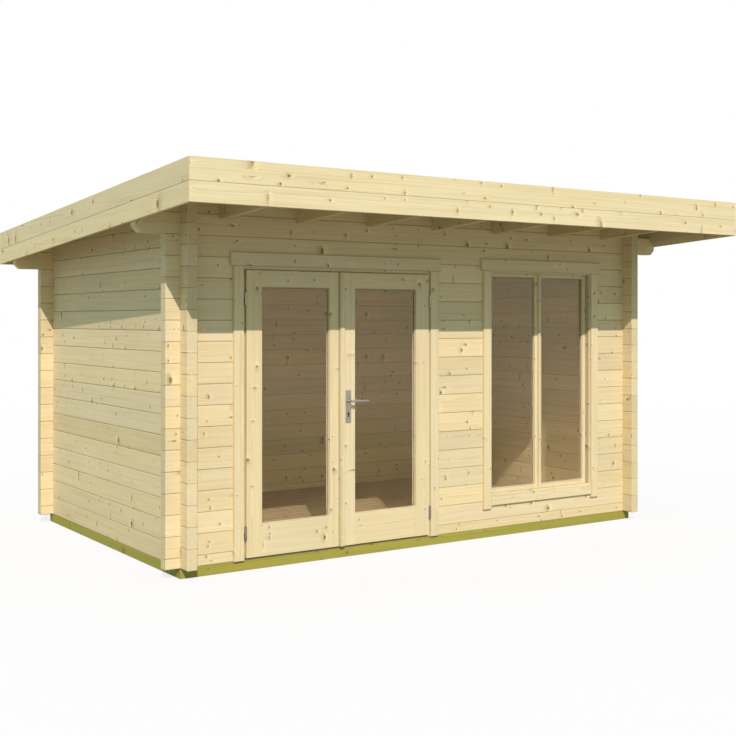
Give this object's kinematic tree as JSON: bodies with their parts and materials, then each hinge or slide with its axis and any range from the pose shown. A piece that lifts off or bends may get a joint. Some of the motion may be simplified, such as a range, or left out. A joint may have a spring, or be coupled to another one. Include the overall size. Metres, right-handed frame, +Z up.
{
  "type": "log garden house",
  "caption": "Small log garden house with a glazed double door, a tall fixed window and a flat roof that falls to the back over deep eaves.",
  "frame": {"origin": "on the ground, in the middle of the outline of the walls", "axes": "+X to the right along the front, +Y from the front wall to the back wall, +Z up"},
  "size_m": [4.616, 3.601, 2.5269],
  "materials": {
    "log_wood": "planed spruce, clear, with small knots",
    "joinery_wood": "planed spruce joinery",
    "roof_wood": "planed spruce boards",
    "treated_wood": "green pressure-treated pine",
    "roofing_felt": "dark mineral roofing felt",
    "clear_glass": "clear float glass",
    "satin_steel": "satin steel",
    "bare_aluminium": "mill finish"
  },
  "bodies": {
    "house": {"front_bearer_left": "treated_wood", "front_bearer_right": "treated_wood", "back_bearer": "treated_wood", "side_bearers": "treated_wood", "floor_joists": "treated_wood", "floor": "roof_wood", "left_wall_even_logs": "log_wood", "left_wall_odd_logs": "log_wood", "right_wall_even_logs": "log_wood", "right_wall_odd_logs": "log_wood", "front_wall_even_logs": "log_wood", "front_wall_odd_logs": "log_wood", "back_wall_even_logs": "log_wood", "back_wall_odd_logs": "log_wood", "console_logs": "log_wood", "top_logs": "log_wood", "roof_beams": "roof_wood", "roof_deck": "roof_wood", "roofing_felt": "roofing_felt", "front_back_upper_fascias": "roof_wood", "front_back_lower_fascias": "roof_wood", "side_upper_fascias": "roof_wood", "side_lower_fascias": "roof_wood", "door_posts": "joinery_wood", "door_head": "joinery_wood", "door_threshold": "bare_aluminium", "frame_hinges": "satin_steel", "window_posts": "joinery_wood", "window_head_and_sill": "joinery_wood", "window_sash_stiles": "joinery_wood", "window_sash_rails": "joinery_wood", "window_glass": "clear_glass", "upright_casings": "joinery_wood", "cross_casings": "joinery_wood"},
    "left_leaf": {"left_leaf_stiles": "joinery_wood", "left_leaf_rails": "joinery_wood", "left_leaf_glass": "clear_glass", "left_leaf_hinges": "satin_steel"},
    "right_leaf": {"right_leaf_stiles": "joinery_wood", "right_leaf_rails": "joinery_wood", "right_leaf_glass": "clear_glass", "right_leaf_hinges": "satin_steel", "astragal": "joinery_wood", "door_lock": "satin_steel"},
    "lever": {"door_lever": "satin_steel"}
  },
  "joints": [
    {"name": "left_leaf_hinge", "type": "hinge", "parent": "house", "child": "left_leaf", "pos_m": [-1.541, -1.267, 1], "axis": [0, 0, -1], "range_deg": [0, 110]},
    {"name": "right_leaf_hinge", "type": "hinge", "parent": "house", "child": "right_leaf", "pos_m": [-0.055, -1.267, 1], "axis": [0, 0, 1], "range_deg": [0, 110]},
    {"name": "lever_turn", "type": "hinge", "parent": "right_leaf", "child": "lever", "pos_m": [-0.751, -1.243, 1.067], "axis": [0, 1, 0], "range_deg": [0, 40], "stiffness_Nm_per_rad": 1.5, "springref_deg": -28.65}
  ]
}
